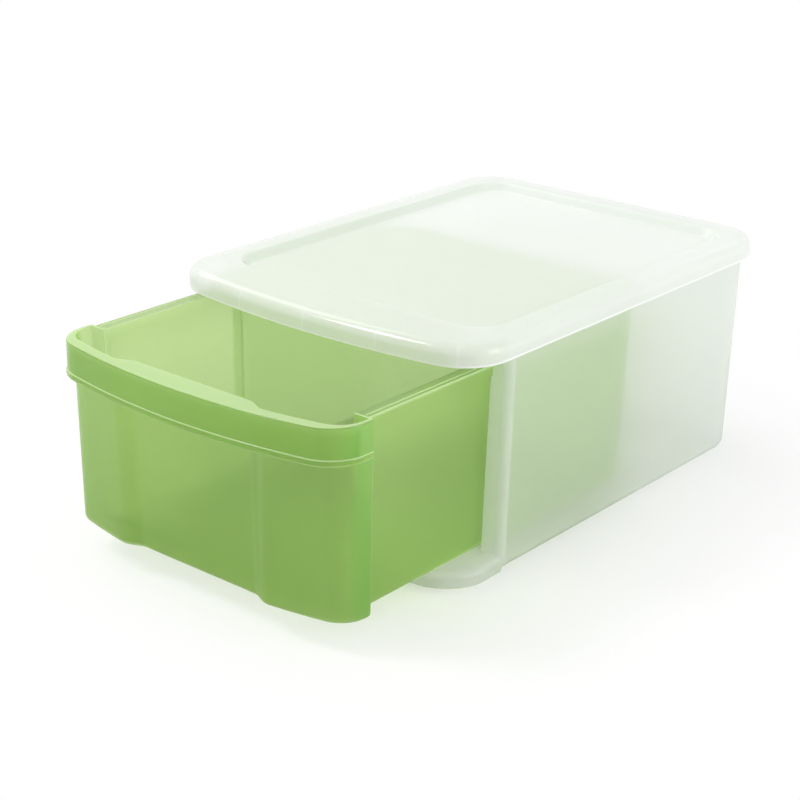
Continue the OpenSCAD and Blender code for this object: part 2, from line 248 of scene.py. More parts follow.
# How a piece's edges are finished, and how its faces are told apart
finish = {
    "weld": 0.02, "manySides": 5,  # first, points this near are joined and faces of so many sides are split
    "roundOver": 38, "roundSteps": 2,  # edges that stick out and turn by more than this are rounded
    "smoothUnder": 32,  # edges that turn by less than this are shaded smooth
    "facing": 0.8,  # a face looks along an axis when its normal has more than this along it
    "upright": 0.3,  # and it stands beside that axis when its normal has less than this along it
    "touch": 0.2,  # a face lies at a level when it is this near to it
    "margin": 1.0,  # and inside an outline when it is no further out than this
}


# Joins solids, cuts some away and keeps what lies in others. An edge width rounds the edges that stick out.
def build(name, base, joins=(), cuts=(), keeps=(), edge=0.0):
    for operation, tools in (("UNION", joins), ("DIFFERENCE", cuts), ("INTERSECT", keeps)):
        for tool in tools:
            step = base.modifiers.new(tool.name, "BOOLEAN")
            step.operation = operation
            step.solver = "MANIFOLD"
            step.object = tool
    if edge:
        base.modifiers.new("triangles", "TRIANGULATE").min_vertices = finish["manySides"]
        base.modifiers.new("weld", "WELD").merge_threshold = finish["weld"] * milli
    done = settle(name, base, (*joins, *cuts, *keeps))
    if edge:
        roundEdges(done, edge)
    return done


# The rounded edges' faces take the second material's number, which becomes the attribute "edge" that marks
# them for a painted highlight
def roundEdges(piece, width):
    with editing(piece) as work:
        weight = work.edges.layers.float.new("bevel_weight_edge")
        for edge in work.edges:
            if edge.is_convex and edge.calc_face_angle(0) > math.radians(finish["roundOver"]):
                edge[weight] = 1
    paint(piece, None)
    piece.data.materials.append(None)
    bevel = piece.modifiers.new("edges", "BEVEL")
    bevel.width = width * milli
    bevel.segments = finish["roundSteps"]
    bevel.limit_method = "WEIGHT"
    bevel.use_clamp_overlap = False
    bevel.material = 1
    piece.data = bake(piece)
    piece.modifiers.clear()
    paintedMarks = piece.data.attributes.new("edge", "FLOAT", "FACE")
    paintedMarks.data.foreach_set("value", [float(face.material_index) for face in piece.data.polygons])


# How much painted highlight a face takes: 1 on rounded edges, elsewhere what the piece's rule says of its
# place in millimetres.
# Below 0 the face takes painted shade instead.
def markPaintedLight(piece, rule):
    paintedMarks = piece.data.attributes.get("edge") or piece.data.attributes.new("edge", "FLOAT", "FACE")
    for face, share in zip(piece.data.polygons, paintedMarks.data):
        share.value = share.value or rule(face.center / milli, face.normal)


def finishPiece(piece, body, material, rule):
    paint(piece, material)
    markPaintedLight(piece, rule)
    piece.data.shade_smooth()
    piece.data.set_sharp_from_angle(angle=math.radians(finish["smoothUnder"]))
    piece.modifiers.new("flat", "WEIGHTED_NORMAL").keep_sharp = True
    piece.data = bake(piece)
    piece.modifiers.clear()
    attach(piece, body)
    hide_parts(body)
    check = bmesh.new()
    check.from_mesh(piece.data)
    loose = sum(1 for edge in check.edges if len(edge.link_faces) != 2)
    print(body, len(check.faces), "faces,", loose, "open edges,", round(check.calc_volume() * 1e6, 1), "cm3")
    check.free()


# A node's output, with which sums can be written
class Wire:
    def __init__(self, net, socket):
        self.net = net
        self.socket = socket

    def output(self, name):
        return Wire(self.net, self.socket.node.outputs[name])

    def __add__(self, other):
        return self.net.maths("ADD", self, other)

    __radd__ = __add__

    def __sub__(self, other):
        return self.net.maths("SUBTRACT", self, other)

    def __rsub__(self, other):
        return self.net.maths("SUBTRACT", other, self)

    def __mul__(self, other):
        return self.net.maths("MULTIPLY", self, other)

    __rmul__ = __mul__

    def __truediv__(self, other):
        return self.net.maths("DIVIDE", self, other)

    def __rtruediv__(self, other):
        return self.net.maths("DIVIDE", other, self)


class Net:
    def __init__(self, tree):
        self.tree = tree

    # The settings are set first, then the values or links of the inputs. A colour is given as three shares.
    def node(self, kind, inputs=None, out=0, **settings):
        made = self.tree.nodes.new(kind)
        for key, value in settings.items():
            setattr(made, key, value)
        for key, value in (inputs or {}).items():
            socket = made.inputs[key]
            if isinstance(value, Wire):
                self.tree.links.new(value.socket, socket)
            elif value is not None:
                socket.default_value = (*value, 1) if socket.type == "RGBA" else value
        return Wire(self, made.outputs[out]) if made.outputs else None

    def maths(self, operation, a, b=None, clamp=False):
        return self.node("ShaderNodeMath", {0: a, 1: b}, operation=operation, use_clamp=clamp)

    def vector(self, operation, a, b=None, out=0):
        return self.node("ShaderNodeVectorMath", {0: a, 1: b}, out=out, operation=operation)

    def mixColour(self, share, a, b):
        return self.node("ShaderNodeMix", {0: share, 6: a, 7: b}, out=2, data_type="RGBA")

    def mixShader(self, share, a, b):
        return self.node("ShaderNodeMixShader", {0: share, 1: a, 2: b})

    def spread(self, value, low, high, toLow, toHigh):
        return self.node("ShaderNodeMapRange", {0: value, 1: low, 2: high, 3: toLow, 4: toHigh}, clamp=True)


# An empty net for a material or a world
def newNet(owner):
    owner.use_nodes = True
    owner.node_tree.nodes.clear()
    return Net(owner.node_tree)


# What the three frosted plastics share: broad clouds of colour, fine grain, and how much they bend light
frost = {
    "clouds": {"Scale": 9.0, "Detail": 3.0, "Roughness": 0.55}, "cloudRange": (0.3, 0.7), "cloudDull": 0.06,
    "grain": {"Scale": 850.0, "Detail": 2.0, "Roughness": 0.6}, "grainDull": 0.05,
    "grainBump": 0.12, "grainHigh": 0.0002, "bending": 1.12, "coatBending": 1.5,
}


# Thin frosted plastic: the face that light meets first scatters it, and the wall's far face lets it pass.
# Clouds run between colour and deep. Faces marked above 0 take a painted highlight in the colour edge, and
# faces marked below 0 take painted shade in the colour shade.
def plastic(name, look):
    made = bpy.data.materials.new(name)
    net = newNet(made)
    place = net.node("ShaderNodeTexCoord", out="Object")
    clouds = net.node("ShaderNodeTexNoise", {"Vector": place, **frost["clouds"]})
    grain = net.node("ShaderNodeTexNoise", {"Vector": place, **frost["grain"]})
    # The attribute edge marks painted light: above 0 a painted highlight is mixed in, below 0 painted shade
    edge = net.node("ShaderNodeAttribute", out="Fac", attribute_name="edge")
    highlightMix = net.maths("MULTIPLY", edge, look["highlightShare"], clamp=True)
    shadeMix = net.maths("MULTIPLY", edge, -1.0, clamp=True)
    tint = net.mixColour(net.spread(clouds, *frost["cloudRange"], 0.0, 1.0), look["colour"], look["deep"])
    dull = look["roughness"] + (clouds - 0.5) * frost["cloudDull"] + (grain - 0.5) * frost["grainDull"]
    bump = net.node("ShaderNodeBump", {
        "Height": grain, "Strength": frost["grainBump"], "Distance": frost["grainHigh"],
    })
    skin = net.node("ShaderNodeBsdfPrincipled", {
        "Base Color": net.mixColour(shadeMix, tint, look["shade"]), "Roughness": dull, "Normal": bump,
        "Transmission Weight": look["transmission"], "IOR": frost["bending"],
        "Coat Weight": look["coat"], "Coat Roughness": look["coatRoughness"],
        "Coat IOR": frost["coatBending"],
    })
    glow = net.node("ShaderNodeBsdfTranslucent", {"Color": look["through"]})
    # A pale matt layer: the painted highlight on the marked faces
    paintedHighlight = net.node("ShaderNodeBsdfDiffuse", {"Color": look["edge"]})
    dressed = net.mixShader(highlightMix, net.mixShader(look["glow"], skin, glow), paintedHighlight)
    behind = net.node("ShaderNodeNewGeometry", out="Backfacing")
    whole = net.mixShader(behind, dressed, net.node("ShaderNodeBsdfTransparent"))
    net.node("ShaderNodeOutputMaterial", {"Surface": whole})
    return made


# A row of equal ribs along a bowed front and on round its corners, each square to it
def ribRow(name, rib, count, pitch, plan, material):
    given = {
        "Count": count, "Pitch": pitch * milli, "Bow": plan.bow * milli, "Front": plan.front * milli,
        "Corner": plan.frontRound * milli, "Corner X": (plan.half - plan.frontRound) * milli,
        "Corner Turn": math.radians(bowTurn(plan)),
    }
    tree = bpy.data.node_groups.new(name, "GeometryNodeTree")
    tree.interface.new_socket("Geometry", in_out="INPUT", socket_type="NodeSocketGeometry")
    keys = {}
    for label, value in given.items():
        kind = "NodeSocketInt" if isinstance(value, int) else "NodeSocketFloat"
        keys[label] = tree.interface.new_socket(label, in_out="INPUT", socket_type=kind).identifier
    tree.interface.new_socket("Geometry", in_out="OUTPUT", socket_type="NodeSocketGeometry")
    net = Net(tree)
    source = net.node("NodeGroupInput")
    number, gap, bow, front, corner, cornerX, cornerTurn = [source.output(label) for label in given]
    line = net.node("GeometryNodeMeshLine", {"Count": number})
    along = (net.node("GeometryNodeInputIndex") - (number - 1) / 2) * gap
    run = net.maths("ABSOLUTE", along)
    side = net.maths("SIGN", along)
    more = run - bow * cornerTurn
    beyond = net.maths("GREATER_THAN", more, 0.0)
    radius = bow + (corner - bow) * beyond
    angle = (run / bow) * (1 - beyond) + (cornerTurn + more / corner) * beyond
    middleX = cornerX * side * beyond
    middleY = front + bow - (bow - corner) * net.maths("COSINE", cornerTurn) * beyond
    spotX = middleX + radius * net.maths("SINE", angle) * side
    spotY = middleY - radius * net.maths("COSINE", angle)
    spot = net.node("ShaderNodeCombineXYZ", {"X": spotX, "Y": spotY})
    placed = net.node("GeometryNodeSetPosition", {"Geometry": line, "Position": spot})
    spin = net.node("ShaderNodeCombineXYZ", {"Z": angle * side})
    copies = net.node("GeometryNodeInstanceOnPoints", {
        "Points": placed, "Instance": source.output("Geometry"), "Rotation": spin,
    })
    real = net.node("GeometryNodeRealizeInstances", {"Geometry": copies})
    dressed = net.node("GeometryNodeSetMaterial", {"Geometry": real, "Material": material})
    net.node("NodeGroupOutput", {"Geometry": dressed})
    rule = rib.modifiers.new(name, "NODES")
    rule.node_group = tree
    for label, value in given.items():
        rule[keys[label]] = value
    return settle(name, rib)


# Sizes that the three pieces share. The drawer rests pulled out.
shared = {
    "height": 195.0, "wall": 2.2, "pulled": 143.5, "footHeight": 4.0,
    "lidGap": 0.3, "skirtGap": 0.5, "slideGap": 0.3, "shutGap": 1.0,
    "mouthGapTop": 1.3, "mouthGapSill": 2.9, "railGap": 1.4, "stackGap": 1.2,
}
height = shared["height"]
wall = shared["wall"]
baseZ = shared["footHeight"]

# The lid: a skirt round the case, and a recess on top in which the next box stands
lid = {
    "width": 300.0, "length": 419.0, "bow": 743.0, "frontRound": 41.0, "backRound": 39.0, "edge": 8.8,
    "skirt": 16.8, "hem": 1.8, "hemRound": 0.7,
    "borderSide": 23.0, "borderBack": 25.5, "borderFront": 51.5,
    "recessRound": 27.0, "recessDeep": 7.0, "recessRun": 6.0, "recessBend": 1.8,
    "underBend": 1.6, "underWalls": 0.55,  # the recess's underside starts this many walls further out
    "ribPitch": 67.0, "ribWide": 1.2, "ribDeep": 4.0, "ribTurn": 45.0,  # no rib past this turn of the skirt
    # Faces near a rib take a painted highlight line where the rib shows through the skirt
    "lineReach": 20.0, "lineFacing": 0.5,  # faces this near a rib, and facing it this much, may show its line
    "look": {
        # The colour shade is painted shade, on the slopes into the recess
        "colour": (0.955, 0.97, 0.945), "deep": (0.94, 0.96, 0.93), "shade": (0.83, 0.915, 0.8),
        "through": (0.93, 0.96, 0.92), "transmission": 0.22, "glow": 0.2,
        "roughness": 0.38, "coat": 1.0, "coatRoughness": 0.14,
        # Painted highlights on rounded edges, the hem and the ribs' lines, and below them painted shade on
        # the slopes
        "edge": (0.98, 0.99, 0.975), "highlightShare": 0.95, "hemHighlight": 1.0, "ribLineHighlight": 0.65,
        "slopeFrom": 0.2, "slopeTo": 0.95, "slopeShade": 0.3, "slopeShadeSide": 0.6,
    },
}
lidFront = -lid["length"] / 2
lidBack = lid["length"] / 2
lidUnderZ = height - wall
skirtZ = height - lid["skirt"]
recessZ = height - lid["recessDeep"]
lidPlan = Plan(lid["width"] / 2, lidFront, lidBack, lid["bow"], lid["frontRound"], lid["backRound"])
recessPlan = Plan(
    lid["width"] / 2 - lid["borderSide"], lidFront + lid["borderFront"], lidBack - lid["borderBack"],
    straight, lid["recessRound"], lid["recessRound"],
)


# One skin, from the underside of the recess round the skirt's hem, over the edge and down into the recess
def lidShell():
    underPlan = inset(recessPlan, -wall * lid["underWalls"])
    under = slope(underPlan, lidUnderZ, recessZ - wall, lid["recessRun"], lid["underBend"])[::-1]
    inside = [ring(inset(lidPlan, wall + by), lidUnderZ - drop) for by, drop in quarter(lid["edge"] - wall)]
    tip = quarter(lid["hemRound"], steps["hem"])
    hem = [ring(inset(lidPlan, wall - by), skirtZ + rise) for by, rise in reversed(tip)]
    hem += [ring(inset(lidPlan, by), skirtZ + rise) for by, rise in tip]
    hem.append(ring(lidPlan, skirtZ + lid["hem"]))
    edge = quarter(lid["edge"], steps["lidEdge"])
    outside = [ring(inset(lidPlan, by), height - drop) for by, drop in reversed(edge)]
    over = slope(recessPlan, height, recessZ, lid["recessRun"], lid["recessBend"])
    return loft("lidShell", under + inside + hem + outside + over)


# A rib in the angle between the skirt and the border, with the skirt's outside at y = 0
def lidRib():
    side = [(wall + lid["ribDeep"], skirtZ + wall), (wall / 2, skirtZ + wall)]
    side += arc(lid["edge"], height - lid["edge"], lid["edge"] - wall / 2, 180, 90, steps["lidRib"])
    side += [(lid["edge"] + lid["ribDeep"], lidUnderZ + wall / 2), (lid["edge"], lidUnderZ - wall)]
    half = lid["ribWide"] / 2
    return prism("lidRib", side, -half, half, alongX=True)


def ribCount():
    turn = bowTurn(lidPlan)
    reach = math.radians(lidPlan.bow * turn + lidPlan.frontRound * (lid["ribTurn"] - turn))
    return 2 * math.floor(reach / lid["ribPitch"]) + 1


# Where each rib meets the skirt's outside, and which way the skirt faces there
def ribSpots():
    turn = math.radians(bowTurn(lidPlan))
    spots = []
    for i in range(ribCount()):
        along = (i - (ribCount() - 1) / 2) * lid["ribPitch"]
        side = math.copysign(1, along)
        angle = abs(along) / lidPlan.bow
        radius = lidPlan.bow
        middle = Vector((0, lidPlan.front + lidPlan.bow, 0))
        if angle > turn:
            angle = turn + (abs(along) - lidPlan.bow * turn) / lidPlan.frontRound
            radius = lidPlan.frontRound
            middle = Vector((side * (lidPlan.half - radius), lidPlan.front + cornerDepth(lidPlan), 0))
        out = Vector((side * math.sin(angle), -math.cos(angle), 0))
        spots.append((middle + out * radius, out))
    return spots


def nearRib(place, normal, spot, out):
    return normal.dot(out) > lid["lineFacing"] and (place - spot).xy.length < lid["lineReach"]


# Splits the skirt's skin on both sides of each rib, where a painted highlight line stands for the rib showing
# through
def splitAtRibs(piece, spots):
    with editing(piece) as work:
        for spot, out in spots:
            across = Vector((-out.y, out.x, 0))
            for side in (-1, 1):
                near = [f for f in work.faces if nearRib(f.calc_center_median() / milli, f.normal, spot, out)]
                parts = near + [e for f in near for e in f.edges] + [v for f in near for v in f.verts]
                parts = list(dict.fromkeys(parts))  # each of them once
                middle = (spot + across * side * lid["ribWide"] / 2) * milli
                bmesh.ops.bisect_plane(work, geom=parts, plane_co=middle, plane_no=across)


# The hem and the ribs' lines take a painted highlight, and the slopes into the recess take painted shade,
# most of all at its sides
def lidPaintedLight(place, normal, spots):
    look = lid["look"]
    if place.z < skirtZ + lid["hem"] and normal.z < finish["upright"]:
        return look["hemHighlight"]
    for spot, out in spots:
        aside = abs((place - spot).xy.dot(Vector((-out.y, out.x))))
        if nearRib(place, normal, spot, out) and aside < lid["ribWide"] / 2:
            return look["ribLineHighlight"]
    wide = recessPlan.half + finish["margin"]
    low, high = recessPlan.front - finish["margin"], recessPlan.back + finish["margin"]
    inside = abs(place.x) < wide and low < place.y < high and place.z > recessZ
    sloped = look["slopeFrom"] < normal.z < look["slopeTo"]
    return -look["slopeShade"] - look["slopeShadeSide"] * abs(normal.x) if inside and sloped else 0.0


def makeLid():
    material = plastic("lidPlastic", lid["look"])
    spots = ribSpots()
    ribs = ribRow("lidRibs", lidRib(), len(spots), lid["ribPitch"], lidPlan, material)
    piece = build("lidSkin", lidShell(), joins=[ribs])
    splitAtRibs(piece, spots)
    finishPiece(piece, "lid", material, lambda place, normal: lidPaintedLight(place, normal, spots))


# The case: an open front between two posts, over a lip. The lid hangs over it by overSide and overBack.
case = {
    "overSide": 6.6, "overBack": 4.4, "corner": 36.0, "edge": 8.0, "draft": 0.74, "edgeRound": 0.6,
    "postSetback": 63.5, "postRound": 8.0, "postReflectionWide": 11.0, "stepHigh": 11.0, "stepWide": 1.8,
    "rimDrop": 7.0, "rimThick": 2.0,
    "lipWidth": 285.0, "lipAhead": 2.0, "lipRound": 38.0, "lipHigh": 13.0, "lipTop": 5.0, "lipBase": 3.6,
    "lipNose": 1.2, "lipRibs": 7, "ribThick": 2.0,
    "runnerX": 85.0, "runnerWide": 3.0, "runnerEnd": 12.0,
    "look": {
        # The colour shade is for painted shade, which no face of the case takes
        "colour": (0.955, 0.98, 0.95), "deep": (0.94, 0.97, 0.935), "shade": (0.84, 0.92, 0.82),
        "through": (0.97, 0.99, 0.965), "transmission": 0.5, "glow": 0.36,
        "roughness": 0.42, "coat": 0.8, "coatRoughness": 0.16,
        # Painted highlight on rounded edges, and a painted reflection on the posts' round corners
        "edge": (0.86, 0.92, 0.85), "highlightShare": 0.8, "postReflection": 0.45, "postReflectionRise": 4.0,
    },
}
sillZ = baseZ + case["lipHigh"]
postY = lidFront + case["postSetback"]
caseBack = lidBack - case["overBack"]
casePlan = Plan(
    lid["width"] / 2 - case["overSide"], postY, caseBack, straight, case["postRound"], case["corner"],
)

# The case's top edge stands under the round of the lid's edge, a gap below it
seatRun = max(0, lid["edge"] - case["overBack"])
seatRise = math.sqrt((lid["edge"] - wall) ** 2 - seatRun ** 2)
caseTop = height - lid["edge"] + seatRise - shared["lidGap"]

# The rim reaches out to the lid's skirt, which keeps the lid in the middle
rimInset = wall + shared["skirtGap"]
rimUnderZ = lidUnderZ - case["rimDrop"] - case["rimThick"]
rimPlan = Plan(
    lid["width"] / 2 - rimInset, postY, lidBack - rimInset,
    straight, case["postRound"], case["corner"] + case["overSide"] - rimInset,
)
lipPlan = Plan(
    case["lipWidth"] / 2, lidFront - case["lipAhead"], postY + wall, lid["bow"], case["lipRound"], wall,
)
footPlan = inset(recessPlan, shared["stackGap"])


def caseLean(z):
    return (caseTop - z) * tanD(case["draft"])


def frontLip():
    nose = [ring(insetFront(lipPlan, by), baseZ + rise) for by, rise in quarter(case["lipBase"])]
    brow = [ring(insetFront(lipPlan, by), sillZ - drop) for by, drop in reversed(quarter(case["lipTop"]))]
    return loft("frontLip", nose + brow)


def lipInside():
    hollow = insetFront(lipPlan._replace(back=footPlan.front), case["lipBase"] + case["lipNose"])
    return loft("lipInside", [ring(hollow, baseZ - past), ring(hollow, sillZ - wall)])


def lipRibs(material):
    pitch = (case["lipWidth"] - 2 * case["lipRound"]) / (case["lipRibs"] - 1)
    half = case["ribThick"] / 2
    rib = block("lipRib", (-half, 0, baseZ), (half, footPlan.front + wall - lipPlan.front, sillZ - wall / 2))
    row = ribRow("lipRibs", rib, case["lipRibs"], pitch, lipPlan._replace(bow=straight), material)
    return build("lipRibsCut", row, keeps=[frontLip()])


# The foot that stands in the recess of the box below, and the pan that it leaves in the case's floor
def stackingFoot():
    slant = lid["recessRun"] / lid["recessDeep"] * baseZ
    foot = loft("foot", [ring(inset(footPlan, slant), 0), ring(footPlan, baseZ + wall / 2)])
    pan = inset(footPlan, slant + wall)
    return foot, loft("footInside", [ring(pan, wall), ring(pan, sillZ - wall)])


# The opening that the drawer slides through: close beside its box and wider for its rails. The drawer's own
# plans and levels come further down.
def drawerMouth():
    ledgeZ = railZ - shared["railGap"]
    stepZ = ledgeZ - case["stepHigh"]
    sillX = boxPlan.half - drawerLean(sillZ) + shared["mouthGapSill"]
    stepX = boxPlan.half - drawerLean(stepZ) + shared["mouthGapTop"]
    outX = stepX + case["stepWide"]
    railX = railPlan.half + shared["railGap"]
    half = [(sillX, sillZ), (stepX, stepZ), (outX, stepZ), (outX, ledgeZ), (railX, ledgeZ)]
    half.append((railX, caseTop + past))
    outline = half + [(-x, z) for x, z in reversed(half)]
    return prism("drawerMouth", outline, postY - past, postY + wall + past)


def runner(side):
    x, half = side * case["runnerX"], case["runnerWide"] / 2
    back = caseBack - caseLean(sillZ) - wall - case["runnerEnd"]
    return block("runner", (x - half, postY + wall / 2, wall / 2), (x + half, back, sillZ))


# The posts' round corners take a painted reflection, most of all where they face half forward
def casePaintedReflection(place, normal):
    look = case["look"]
    corner = place.y < postY + case["postRound"] and abs(place.x) > casePlan.half - case["postReflectionWide"]
    if corner and place.z > sillZ and abs(normal.z) < finish["upright"]:
        return look["postReflection"] * max(0, min(1, look["postReflectionRise"] * abs(normal.x) * -normal.y))
    return 0.0


def makeCase():
    material = plastic("casePlastic", case["look"])
    shell = bowl("caseShell", casePlan, caseLean, baseZ, caseTop, case["edge"])
    inside = bowl("caseInside", casePlan, caseLean, baseZ, caseTop + past, case["edge"], wall)
    rim = loft("caseRim", [ring(rimPlan, rimUnderZ), ring(rimPlan, rimUnderZ + case["rimThick"])])
    foot, footInside = stackingFoot()
    cuts = [inside, footInside, drawerMouth(), lipInside()]
    opened = build("caseOpen", shell, joins=[rim, frontLip(), foot], cuts=cuts)
    joins = [lipRibs(material), runner(-1), runner(1)]
    finishPiece(build("caseBody", opened, joins=joins, edge=case["edgeRound"]), "case", material, casePaintedReflection)


# The drawer: a box that hangs on its rails, with a wider hollow front and a band as its handle
drawer = {
    "width": 249.6, "high": 154.3, "wall": 2.0, "draft": 1.74, "corner": 24.0, "nearCorner": 2.5, "edge": 5.0,
    "edgeRound": 0.4, "railWide": 9.8, "railThick": 1.8, "railDrop": 0.2,
    "ridgeX": 5.2, "ridgeWide": 1.4, "ridgeHigh": 0.5,
    "frontWidth": 276.6, "frontSide": 3.2, "frontBow": 536.0, "frontCorner": 24.5, "frontDraft": 1.55,
    "frontLift": 6.2, "frontEdge": 4.0, "threshold": 0.6, "dipDeep": 11.0, "dipFlat": 55.0, "dipBlend": 20.0,
    "bandWidth": 279.0, "bandAhead": 11.5, "bandBow": 555.0, "bandCorner": 31.0, "bandHigh": 27.6,
    "bandEdge": 1.6, "bandThick": 2.2, "bandEnd": 0.5, "beadHigh": 5.0, "beadDeep": 1.0,
    "look": {
        # The colour shade is painted shade, on the front's round ends
        "colour": (0.42, 0.645, 0.18), "deep": (0.39, 0.615, 0.165), "shade": (0.3, 0.62, 0.15),
        "through": (0.55, 0.74, 0.29), "transmission": 0.7, "glow": 0.3,
        "roughness": 0.33, "coat": 0.8, "coatRoughness": 0.16,
        # Painted highlight on rounded edges, a painted reflection on the rim, painted highlights on the
        # bead's lines and the rail's side, and how far the painted shade at the front's ends runs
        "edge": (0.7, 0.88, 0.49), "highlightShare": 0.8, "rimReflection": 0.6, "beadHighlight": 0.7, "beadLine": 0.75,
        "railHighlight": 0.5, "endWide": 8.0, "endShadeRun": 0.17,
    },
}
thin = drawer["wall"]
drawerZ = sillZ + shared["slideGap"]
rimZ = drawerZ + drawer["high"]
railTop = rimZ - drawer["railDrop"]
railZ = railTop - drawer["railThick"]
frontZ = drawerZ + drawer["frontLift"]
bandZ = rimZ - drawer["bandHigh"]
stepY = postY - shared["shutGap"] - shared["pulled"]
railBack = caseBack - caseLean(rimZ) - wall - shared["shutGap"] - shared["pulled"]
boxPlan = Plan(
    drawer["width"] / 2, stepY - thin / 2, railBack - drawer["railWide"],
    straight, drawer["nearCorner"], drawer["corner"],
)
railPlan = Plan(
    drawer["width"] / 2 + drawer["railWide"], stepY - drawer["bandEnd"] - thin, railBack,
    straight, sharp, drawer["corner"] + drawer["railWide"],
)
frontPlan = Plan(drawer["frontWidth"] / 2, 0, stepY, drawer["frontBow"], drawer["frontCorner"], sharp)
frontPlan = frontPlan._replace(front=stepY - drawer["frontSide"] - cornerDepth(frontPlan))
bandPlan = Plan(
    drawer["bandWidth"] / 2, frontPlan.front - drawer["bandAhead"], stepY - drawer["bandEnd"],
    drawer["bandBow"], drawer["bandCorner"], sharp,
)


def drawerLean(z):
    return (rimZ - z) * tanD(drawer["draft"])


# The front's outline at a height. The finger recess in its middle runs out into the bow in two S-curves.
def frontRing(by, back, z):
    plan = insetFront(frontPlan, by)
    plan = plan._replace(front=plan.front - (z - frontZ) * tanD(drawer["frontDraft"]))
    middleY = plan.front + plan.bow
    dip = plan.front + drawer["dipDeep"]
    flat, blend = drawer["dipFlat"], drawer["dipBlend"]
    half = [(0, dip), (flat / 2, dip)]
    for i in range(steps["blend"] + 1):
        share = i / steps["blend"]
        x = flat + blend * share
        y = middleY - math.sqrt(plan.bow ** 2 - x ** 2)
        half.append((x, dip + (y - dip) * (1 - cosD(180 * share)) / 2))
    start = -90 + asinD((flat + blend) / plan.bow)
    half += arc(0, middleY, plan.bow, start, -90 + bowTurn(plan), steps["bulge"])[1:-1]
    half += frontCorner(plan) + [(plan.half, back)]
    return [(x, y, z) for x, y in bothSides(half)]


def frontSolid(name, by, back, floorZ, edge, topZ):
    lower = [frontRing(by + more, back, floorZ + rise) for more, rise in quarter(edge)]
    startZ, count = floorZ + edge, steps["panel"]
    upper = [frontRing(by, back, startZ + (topZ - startZ) * k / count) for k in range(1, count + 1)]
    return loft(name, lower + upper)


# The way from the drawer's box into its hollow front
def doorway():
    lowZ, highZ = frontZ + thin + drawer["threshold"], rimZ + past
    lowX, highX = boxPlan.half - drawerLean(lowZ) - thin, boxPlan.half - thin
    outline = [(-lowX, lowZ), (lowX, lowZ), (highX, highZ), (-highX, highZ)]
    return prism("doorway", outline, stepY - thin - past, stepY + thin + past)


# The band hangs from the rim in front of the finger recess, with a bead along its foot
def handleBand():
    bead = []
    for i in range(steps["bead"] + 1):
        turn = 180 * i / steps["bead"]
        swell = drawer["beadDeep"] * sinD(turn)
        bead.append(ring(insetFront(bandPlan, -swell), bandZ + drawer["beadHigh"] * (1 - cosD(turn)) / 2))
    edge = quarter(drawer["bandEdge"], steps["bandEdge"])
    brow = [ring(insetFront(bandPlan, by), rimZ - drop) for by, drop in reversed(edge)]
    behind = insetFront(bandPlan._replace(back=stepY + past), thin)
    inside = loft("bandInside", [ring(behind, bandZ - past), ring(behind, rimZ - drawer["bandThick"])])
    return build("handleBand", loft("band", bead + brow), cuts=[inside])


def railRidge():
    beside = drawer["railWide"] - drawer["ridgeX"] - drawer["ridgeWide"]
    outer = insetBack(railPlan, beside)._replace(front=stepY)
    inner = insetBack(outer, drawer["ridgeWide"])._replace(front=stepY - past)
    low, high = railTop - drawer["railThick"] / 2, railTop + drawer["ridgeHigh"]
    ridge = loft("ridge", [ring(outer, low), ring(outer, high)])
    inside = loft("ridgeInside", [ring(inner, low - past), ring(inner, high + past)])
    return build("railRidge", ridge, cuts=[inside])


# The rim takes a painted reflection, the two lines of the bead and the rail's side take a painted highlight,
# and the front's round ends take painted shade
def drawerPaintedLight(place, normal):
    look = drawer["look"]
    onFront = place.y < stepY
    onBand = place.y < stepY - finish["margin"] and normal.y < finish["upright"]
    beadLine = min(place.z - bandZ, bandZ + drawer["beadHigh"] - place.z)
    turned = abs(normal.x) - finish["facing"]
    if onFront and normal.z > finish["facing"] and place.z > rimZ - finish["touch"]:
        return look["rimReflection"]
    if onBand and normal.z > -finish["facing"] and beadLine > 0:
        return look["beadHighlight"] if beadLine < look["beadLine"] else 0.0
    if onFront and turned > 0 and abs(place.x) > frontPlan.half - look["endWide"]:
        return -min(1, turned / look["endShadeRun"])
    onRail = railZ < place.z < railTop and abs(place.x) > railPlan.half - finish["touch"]
    return look["railHighlight"] if onRail and abs(normal.z) < finish["upright"] else 0.0


def makeDrawer():
    material = plastic("drawerPlastic", drawer["look"])
    edge = drawer["frontEdge"]
    box = bowl("box", boxPlan, drawerLean, drawerZ, railTop - drawer["railThick"] / 2, drawer["edge"])
    boxInside = bowl("boxInside", boxPlan, drawerLean, drawerZ, rimZ + past, drawer["edge"], thin)
    front = frontSolid("front", 0, stepY, frontZ, edge, rimZ - drawer["bandThick"] / 2)
    frontInside = frontSolid("frontInside", thin, stepY - thin, frontZ + thin, edge - thin, rimZ + past)
    rail = loft("rail", [ring(railPlan, railZ), ring(railPlan, railTop)])
    joins = [rail, railRidge(), front, handleBand()]
    cuts = [boxInside, frontInside, doorway()]
    piece = build("drawerBox", box, joins=joins, cuts=cuts, edge=drawer["edgeRound"])
    finishPiece(piece, "drawer", material, drawerPaintedLight)


makeLid()
print("lid")
makeCase()
print("case")
makeDrawer()
print("drawer")

# From here on lengths are metres
view = {
    "place": (0.860278, -1.146373, 0.625555), "yaw": 39.08, "pitch": 21.43, "roll": 1.26,
    "lens": 82.68, "sensor": 36.0, "shift": (-0.0075, -0.0021),
}


